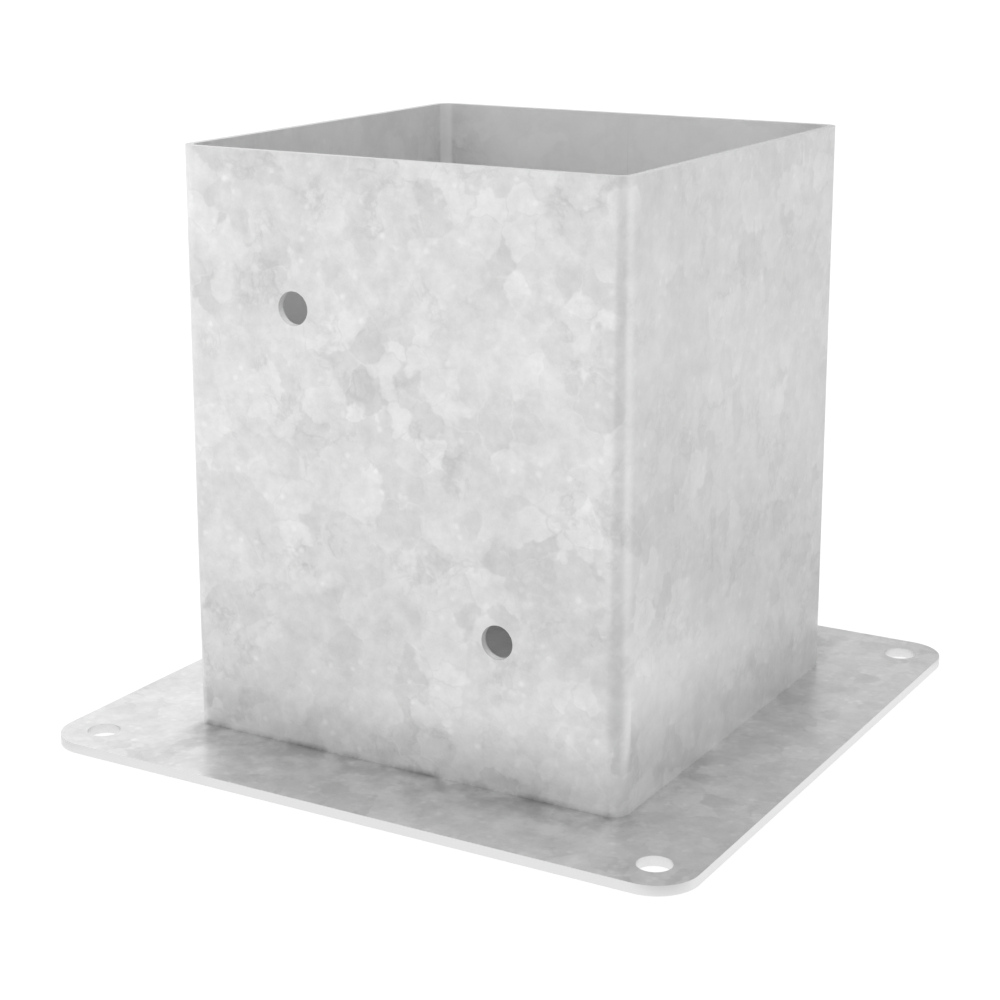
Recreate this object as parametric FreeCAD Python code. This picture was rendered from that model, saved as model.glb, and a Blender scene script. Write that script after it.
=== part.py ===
import FreeCAD, Part
import math
import os

from FreeCAD import Vector

# Surface-mounted base for a square timber post, in hot-dip galvanised steel. A square sleeve is folded
# from one sheet with its butt seam down the middle of the back wall, stands on a flat square plate, and
# is welded to it from the inside. The post drops into the sleeve and is bolted through two holes on a
# diagonal; the plate is anchored to concrete through a hole in each corner.
#
# Frame: origin at the centre of the plate's underside, +Z up, -Y the wall with the bolt holes that is
# seen first, +Y the wall with the seam. Lengths in millimetres.

# The sleeve, one folded sheet
pocket_width = 120.0              # clear width between opposite walls, for the post
sleeve_sheet = 2.0
sleeve_height = 150.5
bend_inner_radius = 2.5
seam_gap = 0.4                    # between the two sheet ends before welding

# The two bolt holes through the front wall, repeated in line through the back wall
bolt_hole_diameter = 8.5
bolt_hole_spacing_across = 57.0
bolt_hole_spacing_up = 75.0

# The base plate
plate_width = 180.0
plate_thickness = 2.5
plate_corner_radius = 11.0
anchor_hole_diameter = 8.5
anchor_hole_edge_distance = 11.0

# The welds
foot_weld_leg = 2.5
foot_weld_length = 36.0
foot_weld_face_share = 0.45       # middle of the bead's face, as a share of the leg from each plate
seam_bead_width = 5.0
seam_bead_height = 0.8
seam_bead_end_inset = 3.0         # from the bead's ends to the sleeve's foot and rim

# Sizes that follow
sleeve_width = pocket_width + 2 * sleeve_sheet
bend_outer_radius = bend_inner_radius + sleeve_sheet
pocket_half = pocket_width / 2
sleeve_half = sleeve_width / 2
sleeve_foot_z = plate_thickness
sleeve_rim_z = sleeve_foot_z + sleeve_height
sleeve_middle_z = sleeve_foot_z + sleeve_height / 2
anchor_hole_place = plate_width / 2 - anchor_hole_edge_distance


def upright(shape, low_z, height):
    """Extrude a flat face, drawn at z = 0, up from low_z."""
    solid = shape.extrude(Vector(0, 0, height))
    solid.translate(Vector(0, 0, low_z))
    return solid


def rounded_square(width, corner_radius):
    """A square face about the Z axis, with its four corners as tangent arcs."""
    half = width / 2
    reach = half - corner_radius
    edges = []
    for turn in range(4):
        quarter = FreeCAD.Rotation(Vector(0, 0, 1), 90 * turn)
        side_start = quarter.multVec(Vector(half, -reach, 0))
        side_end = quarter.multVec(Vector(half, reach, 0))
        arc_middle = quarter.multVec(
            Vector(reach, reach, 0) + Vector(1, 1, 0) * (corner_radius / math.sqrt(2))
        )
        arc_end = quarter.multVec(Vector(reach, half, 0))
        edges.append(Part.LineSegment(side_start, side_end).toShape())
        edges.append(Part.Arc(side_end, arc_middle, arc_end).toShape())
    return Part.Face(Part.Wire(edges))


def save(node, shape):
    shape.exportStep("parts/" + node + ".step")


def base_plate():
    """Flat square plate, corners rounded, a plain round hole in each corner."""
    plate = upright(rounded_square(plate_width, plate_corner_radius), 0, plate_thickness)
    for x in (-anchor_hole_place, anchor_hole_place):
        for y in (-anchor_hole_place, anchor_hole_place):
            hole = Part.makeCylinder(anchor_hole_diameter / 2, plate_thickness, Vector(x, y, 0))
            plate = plate.cut(hole)
    return plate


def seam_joint():
    """The space between the two sheet ends, in the middle of the back wall."""
    return Part.makeBox(
        seam_gap, sleeve_sheet, sleeve_height, Vector(-seam_gap / 2, pocket_half, sleeve_foot_z)
    )


def post_sleeve():
    """One sheet folded round four bends, its two ends meeting in the middle of the back wall."""
    outside = rounded_square(sleeve_width, bend_outer_radius)
    inside = rounded_square(pocket_width, bend_inner_radius)
    sleeve = upright(outside.cut(inside), sleeve_foot_z, sleeve_height)
    sleeve = sleeve.cut(seam_joint())
    # Upper left and lower right in the front wall; each drill line runs on through the back wall.
    for side in (-1, 1):
        drill = Part.makeCylinder(
            bolt_hole_diameter / 2,
            sleeve_width,
            Vector(
                side * bolt_hole_spacing_across / 2,
                -sleeve_half,
                sleeve_middle_z - side * bolt_hole_spacing_up / 2,
            ),
            Vector(0, 1, 0),
        )
        sleeve = sleeve.cut(drill)
    return sleeve


def seam_weld():
    """Weld metal that fills the joint from wall face to wall face, under a low bead on the outside."""
    half_width = seam_bead_width / 2
    low_end_z = sleeve_foot_z + seam_bead_end_inset + half_width
    high_end_z = sleeve_rim_z - seam_bead_end_inset - half_width
    toe_left = Vector(-half_width, sleeve_half, 0)
    toe_right = Vector(half_width, sleeve_half, 0)
    crown = Vector(0, sleeve_half + seam_bead_height, 0)
    cap = Part.Face(
        Part.Wire(
            [
                Part.Arc(toe_left, crown, toe_right).toShape(),
                Part.LineSegment(toe_right, toe_left).toShape(),
            ]
        )
    )
    bead = upright(cap, low_end_z, high_end_z - low_end_z)
    # Each end of the bead is a half dome: half of the cap turned about its own middle line.
    crown_half = Part.Face(
        Part.Wire(
            [
                Part.Arc(
                    toe_right,
                    cap_point(math.asin(half_width / cap_radius()) / 2),
                    crown,
                ).toShape(),
                Part.LineSegment(crown, Vector(0, sleeve_half, 0)).toShape(),
                Part.LineSegment(Vector(0, sleeve_half, 0), toe_right).toShape(),
            ]
        )
    )
    for end_z, turn in ((low_end_z, 180), (high_end_z, -180)):
        end = crown_half.revolve(Vector(0, sleeve_half, 0), Vector(0, 1, 0), turn)
        end.translate(Vector(0, 0, end_z))
        bead = bead.fuse(end)
    return bead.fuse(seam_joint()).removeSplitter()


def cap_radius():
    """Radius of the arc across the seam bead, from its width and height."""
    return ((seam_bead_width / 2) ** 2 + seam_bead_height**2) / (2 * seam_bead_height)


def cap_point(angle):
    """Point on the seam bead's arc, at an angle from its crown."""
    centre_y = sleeve_half + seam_bead_height - cap_radius()
    return Vector(cap_radius() * math.sin(angle), centre_y + cap_radius() * math.cos(angle), 0)


def foot_weld():
    """Four short fillet beads in the foot of the pocket, one at the middle of each wall."""
    corner = Vector(0, -pocket_half, sleeve_foot_z)
    on_wall = corner + Vector(0, 0, foot_weld_leg)
    on_plate = corner + Vector(0, foot_weld_leg, 0)
    # The bead's face is slightly hollow: its middle lies a little under the straight line.
    face_middle = corner + Vector(0, 1, 1) * (foot_weld_face_share * foot_weld_leg)
    section = Part.Face(
        Part.Wire(
            [
                Part.LineSegment(corner, on_plate).toShape(),
                Part.Arc(on_plate, face_middle, on_wall).toShape(),
                Part.LineSegment(on_wall, corner).toShape(),
            ]
        )
    )
    straight = foot_weld_length - 2 * foot_weld_leg
    bead = section.copy()
    bead.translate(Vector(-straight / 2, 0, 0))
    bead = bead.extrude(Vector(straight, 0, 0))
    for side in (-1, 1):
        end = section.revolve(corner, Vector(0, 0, 1), -90 * side)
        end.translate(Vector(side * straight / 2, 0, 0))
        bead = bead.fuse(end)
    bead = bead.removeSplitter()
    beads = []
    for turn in range(4):
        copy = bead.copy()
        copy.rotate(Vector(0, 0, 0), Vector(0, 0, 1), 90 * turn)
        beads.append(copy)
    return Part.makeCompound(beads)


os.makedirs("parts", exist_ok=True)
save("base_plate", base_plate())
save("post_sleeve", post_sleeve())
save("seam_weld", seam_weld())
save("foot_weld", foot_weld())
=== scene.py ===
import functools
import math

import bpy
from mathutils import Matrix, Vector

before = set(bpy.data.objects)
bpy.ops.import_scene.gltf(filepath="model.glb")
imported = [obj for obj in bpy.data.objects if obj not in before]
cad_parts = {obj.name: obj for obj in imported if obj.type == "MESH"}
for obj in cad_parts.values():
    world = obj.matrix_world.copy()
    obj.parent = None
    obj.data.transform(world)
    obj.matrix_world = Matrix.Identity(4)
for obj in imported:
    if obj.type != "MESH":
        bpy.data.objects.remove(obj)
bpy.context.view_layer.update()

# -------------------------------------------------------------------------------------------------
# Base plate: a square of flat steel plate, cut out with rounded corners and four anchor holes, then
# dipped in molten zinc. The bath leaves soft grey crystals, the spangle, over the whole face.
# -------------------------------------------------------------------------------------------------
MM = 0.001
plate_top = 2.5 * MM
pocket_half = 60 * MM
sleeve_half = 62 * MM
rim_height = 153 * MM


def linear(hex_colour):
    """An sRGB hex colour as linear RGBA."""
    channels = [int(hex_colour[i : i + 2], 16) / 255 for i in (0, 2, 4)]
    return [c / 12.92 if c <= 0.04045 else ((c + 0.055) / 1.055) ** 2.4 for c in channels] + [1.0]


def add_node(tree, kind, *values, **named):
    """Add a node, with its settings and links.

    The values fill its open sockets in order. A name in lower case is a setting, and a name with a
    capital is a socket. A node given as a value is linked by its first open output.
    """
    made = tree.nodes.new("ShaderNode" + kind)
    for name, value in named.items():
        if name.islower():
            setattr(made, name, value)
    fillings = list(zip([socket for socket in made.inputs if socket.enabled], values))
    for name, value in named.items():
        if not name.islower():
            fillings.append((made.inputs[name.replace("_", " ")], value))
    for socket, value in fillings:
        if isinstance(value, bpy.types.Node):
            value = next(output for output in value.outputs if output.enabled)
        if isinstance(value, bpy.types.NodeSocket):
            tree.links.new(value, socket)
        else:
            socket.default_value = value
    return made


def hot_dip_zinc(name, dark, light, spangle, cut_edge, cut_faces, bare, ripple=0.0):
    """Zinc from a hot bath: a satin metal whose crystals each catch the light in their own way.

    The crystals are cells of the size given as spangle, mottled inside by the fine, branching way
    they grew. cut_faces says whether the piece was cut on its sides or its tops. bare is how
    metallic the skin is where nothing dulls it. ripple is the spacing of ripples across a weld.
    """
    material = bpy.data.materials.new(name)
    material.use_nodes = True
    material.node_tree.nodes.clear()
    add = functools.partial(add_node, material.node_tree)
    place = add("TexCoord").outputs["Object"]
    across = add("SeparateXYZ", place)
    facing = add("SeparateXYZ", add("NewGeometry").outputs["Normal"])

    # Feathered borders: the cell pattern is read at a place that wanders by up to two fifths of a
    # crystal.
    wander = 0.85 * spangle
    drift = add("TexNoise", place, 1 / (0.6 * spangle), 2.0, 0.5).outputs["Color"]
    drift = add("VectorMath", drift, (0.5, 0.5, 0.5), operation="SUBTRACT")
    feathered = add("VectorMath", drift, (wander,) * 3, place, operation="MULTIPLY_ADD")
    crystals = add("TexVoronoi", feathered, 1 / spangle)
    crystal = add("SeparateColor", crystals.outputs["Color"])
    borders = add("TexVoronoi", feathered, 1 / spangle, feature="DISTANCE_TO_EDGE")

    # A crystal's own shade fades towards its border, where it meets its neighbour's.
    shade_swing = 0.46
    own_shade = add("MapRange", crystal.outputs["Red"], 0.0, 1.0, -shade_swing, shade_swing)
    inside = add("MapRange", borders, 0.0, 0.045)
    own_shade = add("Math", own_shade, inside, operation="MULTIPLY")

    # Only in some patches are the crystals plain to see. Elsewhere they grew into each other.
    crystal_patch = 24 * MM
    plain = add("TexNoise", place, 1 / crystal_patch, 2.0, 0.5)
    plain = add("MapRange", plain, 0.4, 0.56, 0.35, 1.0)
    own_shade = add("Math", own_shade, plain, operation="MULTIPLY")

    # Fine mottling inside the crystals, over broad clouds.
    mottle_swing = 0.4
    cloud_size = 38 * MM
    cloud_swing = 0.25
    mottle = add("TexNoise", place, 1 / (0.62 * spangle), 7.0, 0.72, Distortion=0.15)
    tone = add("MapRange", mottle, 0.3, 0.7, -mottle_swing, mottle_swing)
    tone = add("Math", tone, own_shade, operation="ADD")
    clouds = add("TexNoise", place, 1 / cloud_size, 4.0, 0.55)
    clouds = add("MapRange", clouds, 0.3, 0.7, -cloud_swing, cloud_swing)
    tone = add("Math", tone, clouds, operation="ADD")

    # Hair lines lie where a slow noise crosses its middle value, in the patches that a second one
    # picks.
    branch_size = 11 * MM
    branch_patch = 17 * MM
    branch = add("TexNoise", place, 1 / branch_size, 4.0, 0.62, Distortion=0.3)
    branch = add("Math", branch, 0.5, operation="SUBTRACT")
    branch = add("Math", branch, operation="ABSOLUTE")
    in_patches = add("TexNoise", place, 1 / branch_patch, 1.0, 0.5)
    in_patches = add("MapRange", in_patches, 0.52, 0.62)
    hair = add("MapRange", branch, 0.0, 0.05, 1.0, 0.0)
    hair = add("Math", hair, in_patches, operation="MULTIPLY")
    hair = add("Math", hair, 0.4, operation="MULTIPLY")
    tone = add("Math", tone, hair, operation="SUBTRACT")

    # Specks are the middles of small cells. About a quarter of the cells have one, most of them
    # faint.
    tip_spacing = 2.6 * MM
    tips = add("TexVoronoi", place, 1 / tip_spacing)
    few = add("SeparateColor", tips.outputs["Color"])
    few = add("MapRange", few.outputs["Blue"], 0.72, 0.95)
    speck = add("MapRange", tips, 0.1, 0.42, 1.0, 0.0)
    speck = add("Math", speck, few, operation="MULTIPLY")
    speck = add("Math", speck, 0.5, operation="MULTIPLY")
    tone = add("Math", tone, speck, operation="ADD")

    # The side walls drained evenly as the part hung in the bath, so their pattern is calmer.
    sideways = add("Math", facing.outputs["X"], operation="ABSOLUTE")
    calm = add("MapRange", sideways, 0.2, 0.8, 1.0, 0.66)
    tone = add("Math", tone, calm, operation="MULTIPLY")
    tone = add("MapRange", tone, -0.9, 0.9)
    skin = add("Mix", tone, linear(dark), linear(light), data_type="RGBA")

    # Painted light in the pocket: the zinc there is duller, and its colour is lightened to stand
    # for the light falling in, most towards the rim, with a painted highlight in the hollow of each
    # bend and painted shade beside the bends and on the side walls.
    out_x = add("Math", across.outputs["X"], operation="ABSOLUTE")
    out_y = add("Math", across.outputs["Y"], operation="ABSOLUTE")
    farther_out = add("Math", out_x, out_y, operation="MAXIMUM")
    nearer_in = add("Math", out_x, out_y, operation="MINIMUM")
    past_inner_face = (pocket_half + 0.1 * MM, pocket_half + 0.3 * MM)
    in_pocket = add("MapRange", farther_out, *past_inner_face, 1.0, 0.0)
    lit_towards_rim = add("MapRange", across.outputs["Z"], 70 * MM, 140 * MM, 0.2, 1.0)
    near_a_bend = (pocket_half - 18 * MM, pocket_half - 4 * MM)
    shaded_beside_bends = add("MapRange", nearer_in, *near_a_bend, 0.75, 0.3)
    less_lit_side_walls = add("MapRange", sideways, 0.2, 0.8, 1.0, 0.4)
    painted_pocket_light_and_dullness = in_pocket
    for share in (lit_towards_rim, shaded_beside_bends, less_lit_side_walls):
        painted_pocket_light_and_dullness = add("Math", painted_pocket_light_and_dullness, share, operation="MULTIPLY")
    painted_bend_highlight = add("MapRange", nearer_in, pocket_half - 3 * MM, pocket_half - 2 * MM, 0.0, 0.55)
    painted_bend_highlight = add("Math", in_pocket, painted_bend_highlight, operation="MULTIPLY")
    painted_pocket_light_and_dullness = add("Math", painted_pocket_light_and_dullness, painted_bend_highlight, operation="ADD")
    # Painted light: the pocket's colour is lightened towards near white.
    skin = add("Mix", painted_pocket_light_and_dullness, skin, linear("FBFBFB"), data_type="RGBA")

    # Painted shade round the foot of three walls, the front, the back and one side. It lies in
    # patches on the plate and a little way up the side wall. At the front and the back a broken
    # dark line is also painted in the crease.
    shade_reach_front = 32 * MM
    shade_reach_side = 20 * MM
    shade_climb = 34 * MM
    off_front = add("Math", out_y, sleeve_half, operation="SUBTRACT")
    off_front = add("Math", off_front, operation="ABSOLUTE")
    off_side = add("Math", across.outputs["X"], sleeve_half, operation="SUBTRACT")
    off_side = add("Math", off_side, operation="ABSOLUTE")
    along_front = add("MapRange", out_x, sleeve_half - 3 * MM, sleeve_half, 1.0, 0.0)
    along_side = add("MapRange", out_y, sleeve_half - 3 * MM, sleeve_half + 12 * MM, 0.55, 0.0)
    near_front = add("MapRange", off_front, 0.0, shade_reach_front, 1.0, 0.0)
    near_front = add("Math", near_front, along_front, operation="MULTIPLY")
    near_side = add("MapRange", off_side, 0.0, shade_reach_side, 1.0, 0.0)
    near_side = add("Math", near_side, along_side, operation="MULTIPLY")
    near_foot = add("Math", near_front, near_side, operation="MAXIMUM")
    in_crease = add("MapRange", off_front, 0.3 * MM, 1.3 * MM, 1.0, 0.0)
    in_crease = add("Math", in_crease, along_front, operation="MULTIPLY")

    height = across.outputs["Z"]
    low_down = add("MapRange", height, plate_top, plate_top + 1.5 * MM, 1.0, 0.0)
    up_side = add("MapRange", height, plate_top, plate_top + shade_climb, 0.12, 0.0)
    up_side = add("Math", up_side, sideways, operation="MULTIPLY")
    not_sideways = add("Math", 1.0, sideways, operation="SUBTRACT")
    on_flat = add("Math", low_down, not_sideways, operation="MULTIPLY")
    where_shade_lies = add("Math", on_flat, up_side, operation="MAXIMUM")

    shade_patch = 8 * MM
    crease_break = 3.2 * MM
    patches = add("TexNoise", place, 1 / shade_patch, 3.0, 0.6)
    patches = add("MapRange", patches, 0.4, 0.62, 0.35, 1.0)
    patches = add("Math", patches, 0.6, operation="MULTIPLY")
    painted_foot_shade = add("Math", near_foot, where_shade_lies, operation="MULTIPLY")
    painted_foot_shade = add("Math", painted_foot_shade, patches, operation="MULTIPLY")
    broken = add("TexNoise", place, 1 / crease_break, 3.0, 0.6)
    broken = add("MapRange", broken, 0.44, 0.58)
    broken = add("Math", broken, 0.1, operation="MULTIPLY")
    line = add("Math", in_crease, low_down, operation="MULTIPLY")
    line = add("Math", line, broken, operation="MULTIPLY")
    painted_foot_shade = add("Math", painted_foot_shade, line, operation="ADD")
    # Painted shade at the foot: the colour is darkened towards a dark grey.
    skin = add("Mix", painted_foot_shade, skin, linear("848484"), data_type="RGBA")

    # Cut faces: the rim, the plate's outline and the holes. They are told by the way they face, and
    # in the walls also by lying between the sheet's two faces.
    before_outer_face = (sleeve_half - 0.3 * MM, sleeve_half - 0.1 * MM)
    between = add(
        "Math",
        add("MapRange", farther_out, *past_inner_face),
        add("MapRange", farther_out, *before_outer_face, 1.0, 0.0),
        operation="MULTIPLY",
    )
    off_the_bend = add("Math", nearer_in, pocket_half - 4 * MM, operation="LESS_THAN")
    in_wall = add("Math", between, off_the_bend, operation="MULTIPLY")
    faces_up = add("Math", facing.outputs["Z"], operation="ABSOLUTE")
    if cut_faces == "sides":
        cut = add("MapRange", faces_up, 0.3, 0.8, 1.0, 0.0)
    else:
        cut = add("MapRange", faces_up, 0.3, 0.8, 0.0, 1.0)
        cut = add("Math", cut, in_wall, operation="MAXIMUM")
    colour = add("Mix", cut, skin, linear(cut_edge), data_type="RGBA")

    # A hole's wall is painted paler, for the light that it catches, and made duller than the
    # sheared rim.
    below_rim = add("MapRange", height, rim_height - 1.0 * MM, rim_height - 0.5 * MM, 1.0, 0.0)
    in_hole = add("Math", in_wall, below_rim, operation="MULTIPLY")
    colour = add("Mix", in_hole, colour, linear("EAEAEA"), data_type="RGBA")
    least_metallic = 0.2
    dull = add("Math", painted_pocket_light_and_dullness, in_hole, operation="MAXIMUM")
    dull = add("Math", dull, bare - least_metallic, operation="MULTIPLY")
    metallic = add("Math", bare, dull, operation="SUBTRACT")

    # Each crystal takes its own polish, and a lighter one is a little rougher. The mottling stands
    # up very slightly from the face.
    rough = add("Math", own_shade, 0.08, operation="MULTIPLY")
    rough = add("Math", 0.32, rough, operation="ADD")
    relief = add("Bump", Strength=0.25, Distance=0.03 * MM, Height=mottle)

    if ripple:
        # The pool froze in ripples as the torch moved on, so they cross the bead all along it. They
        # stay off the weld metal between the sheet ends, which is flush with the pocket's wall.
        wave_scale = 2 * math.pi / (10 * ripple)
        outside = add("MapRange", farther_out, pocket_half + 1.0 * MM, pocket_half + 1.5 * MM)
        at_foot = add("MapRange", height, 8 * MM, 10 * MM, 1.0, 0.0)
        on_bead = add("Math", outside, at_foot, operation="MAXIMUM")
        on_bead = add("Math", on_bead, 0.6, operation="MULTIPLY")
        ripples = add("TexWave", place, wave_scale, 1.5, bands_direction="DIAGONAL")
        relief = add(
            "Bump",
            Strength=on_bead,
            Distance=0.12 * MM,
            Height=ripples.outputs["Fac"],
            Normal=relief,
        )
    metal = add(
        "BsdfPrincipled", Base_Color=colour, Metallic=metallic, Roughness=rough, Normal=relief
    )
    add("OutputMaterial", metal)
    return material


# The barest metal of the three, with middling crystals and pale cut edges at outline and holes.
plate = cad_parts["base_plate"]
plate.data.materials.clear()
plate.data.materials.append(
    hot_dip_zinc("hot-dip zinc on plate", "C9C9C9", "EEEEEE", 7 * MM, "E6E6E6", "sides", 1.0)
)

# -------------------------------------------------------------------------------------------------
# Post sleeve: one sheet folded round four bends, with its ends meeting in the back wall, and the
# same zinc over it. Its rim is the sheared edge of the sheet, so it reads as a thin bright line.
# -------------------------------------------------------------------------------------------------
# Larger, paler crystals than the plate's, plain on the drilled wall and calmer on the side walls.
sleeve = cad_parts["post_sleeve"]
sleeve.data.materials.clear()
sleeve.data.materials.append(
    hot_dip_zinc("hot-dip zinc on folded sheet", "CECECE", "FBFBFB", 9 * MM, "D2D2D2", "tops", 0.7)
)

# -------------------------------------------------------------------------------------------------
# Welds: one bead down the outside of the seam, four short ones inside the foot. They were run
# before the bath, so the same zinc covers them, with finer crystals over the rippled metal.
# -------------------------------------------------------------------------------------------------
ripple_spacing = 1.6 * MM
weld_zinc = hot_dip_zinc(
    "hot-dip zinc on weld", "C9C9C9", "E8E8E8", 3 * MM, "DDDDDD", "tops", 0.4, ripple_spacing
)
for weld in ("seam_weld", "foot_weld"):
    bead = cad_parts[weld]
    bead.data.materials.clear()
    bead.data.materials.append(weld_zinc)

# -------------------------------------------------------------------------------------------------
# Studio: a white paper floor that keeps the shadow, and a dim surround with one wide, soft window
# and a light overhead. The floor that the zinc mirrors is dimmer behind the part, in front of it
# and just past the plate.
# -------------------------------------------------------------------------------------------------
WHITE = (1.0, 1.0, 1.0, 1.0)


def towards(azimuth, elevation=0.0):
    """A heading from the part, in degrees round from the drilled wall and up from the floor."""
    around, up = math.radians(azimuth), math.radians(elevation)
    return Vector((math.sin(around) * math.cos(up), -math.cos(around) * math.cos(up), math.sin(up)))


floor_reach = 4000 * MM
drop = 0.2 * MM
floor_mesh = bpy.data.meshes.new("floor")
floor_mesh.from_pydata(
    [
        (-floor_reach, -floor_reach, -drop),
        (floor_reach, -floor_reach, -drop),
        (floor_reach, floor_reach, -drop),
        (-floor_reach, floor_reach, -drop),
    ],
    [],
    [(0, 1, 2, 3)],
)
floor = bpy.data.objects.new("floor", floor_mesh)
bpy.context.scene.collection.objects.link(floor)

# White matt paper: its glow and the light it sends back make plain white, less the shadow.
paper = bpy.data.materials.new("white matt paper")
paper.use_nodes = True
paper.node_tree.nodes.clear()
add = functools.partial(add_node, paper.node_tree)
matt = add("BsdfDiffuse", linear("7C7C7C"))
glow = add("Emission", WHITE, 0.86)
seen = add("AddShader", matt, glow)

# What the zinc mirrors of the paper depends on its heading from the part and how far off it is.
behind_part = towards(160)
before_part = towards(40)
spot = add("TexCoord").outputs["Object"]
heading = add("VectorMath", spot, operation="NORMALIZE")
shaded = add("VectorMath", heading, behind_part, operation="DOT_PRODUCT")
shaded = add("MapRange", shaded, 0.3, 1.0, 1.0, 0.79, interpolation_type="SMOOTHSTEP")
dimmed = add("VectorMath", heading, before_part, operation="DOT_PRODUCT")
dimmed = add("MapRange", dimmed, 0.8, 0.99, 1.0, 0.7, interpolation_type="SMOOTHSTEP")
off_centre = add("VectorMath", spot, operation="LENGTH")
near_part = add("MapRange", off_centre, 120 * MM, 420 * MM, 0.7, 1.0)
past_plate = add("MapRange", off_centre, 122 * MM, 137 * MM)
level = add("Math", shaded, dimmed, operation="MULTIPLY")
level = add("Math", level, near_part, operation="MULTIPLY")
level = add("Mix", past_plate, 1.0, level)
bright = add("Emission", WHITE, level)
path = add("LightPath")
mirrored = add(
    "Math",
    path.outputs["Is Glossy Ray"],
    path.outputs["Is Transmission Ray"],
    operation="ADD",
    use_clamp=True,
)
add("OutputMaterial", add("MixShader", mirrored, seen, bright))
floor.data.materials.append(paper)

# The surround: a dim room, a bright window behind the part on its left, and a light overhead.
room_level = 0.64
window_level = 1.12
overhead_level = 0.5
world = bpy.data.worlds.new("studio surround")
bpy.context.scene.world = world
world.use_nodes = True
world.node_tree.nodes.clear()
add = functools.partial(add_node, world.node_tree)
direction = add("TexCoord").outputs["Generated"]
window = add("VectorMath", direction, towards(250), operation="DOT_PRODUCT")
window = add(
    "MapRange", window, 0.55, 0.85, room_level, window_level, interpolation_type="SMOOTHSTEP"
)
overhead = add("VectorMath", direction, towards(-30, 80), operation="DOT_PRODUCT")
overhead = add(
    "MapRange", overhead, 0.35, 0.85, 0.0, overhead_level, interpolation_type="SMOOTHSTEP"
)
level = add("Math", window, overhead, operation="ADD")
lit = add("Background", WHITE, level)
white = add("Background", WHITE, 1.0)
is_camera = add("LightPath").outputs["Is Camera Ray"]
add("OutputWorld", add("MixShader", is_camera, lit, white))

# -------------------------------------------------------------------------------------------------
# Camera: a little above the rim, turned to show the drilled wall and the plain wall beside it.
# -------------------------------------------------------------------------------------------------
towards_camera = towards(30.07, 13.28)
aim = Vector((-6.61 * MM, 0.0, 82.45 * MM))
distance = 574.4 * MM
camera_data = bpy.data.cameras.new("camera")
camera_data.sensor_width = 36.0
camera_data.lens = 78.24
camera_data.shift_x = 0.0002
camera_data.shift_y = -0.0998
camera_data.clip_start = 10 * MM
camera = bpy.data.objects.new("camera", camera_data)
camera.location = aim + towards_camera * distance
camera.rotation_euler = (-towards_camera).to_track_quat("-Z", "Y").to_euler()
bpy.context.scene.collection.objects.link(camera)
bpy.context.scene.camera = camera
bpy.context.scene.view_settings.view_transform = "Standard"
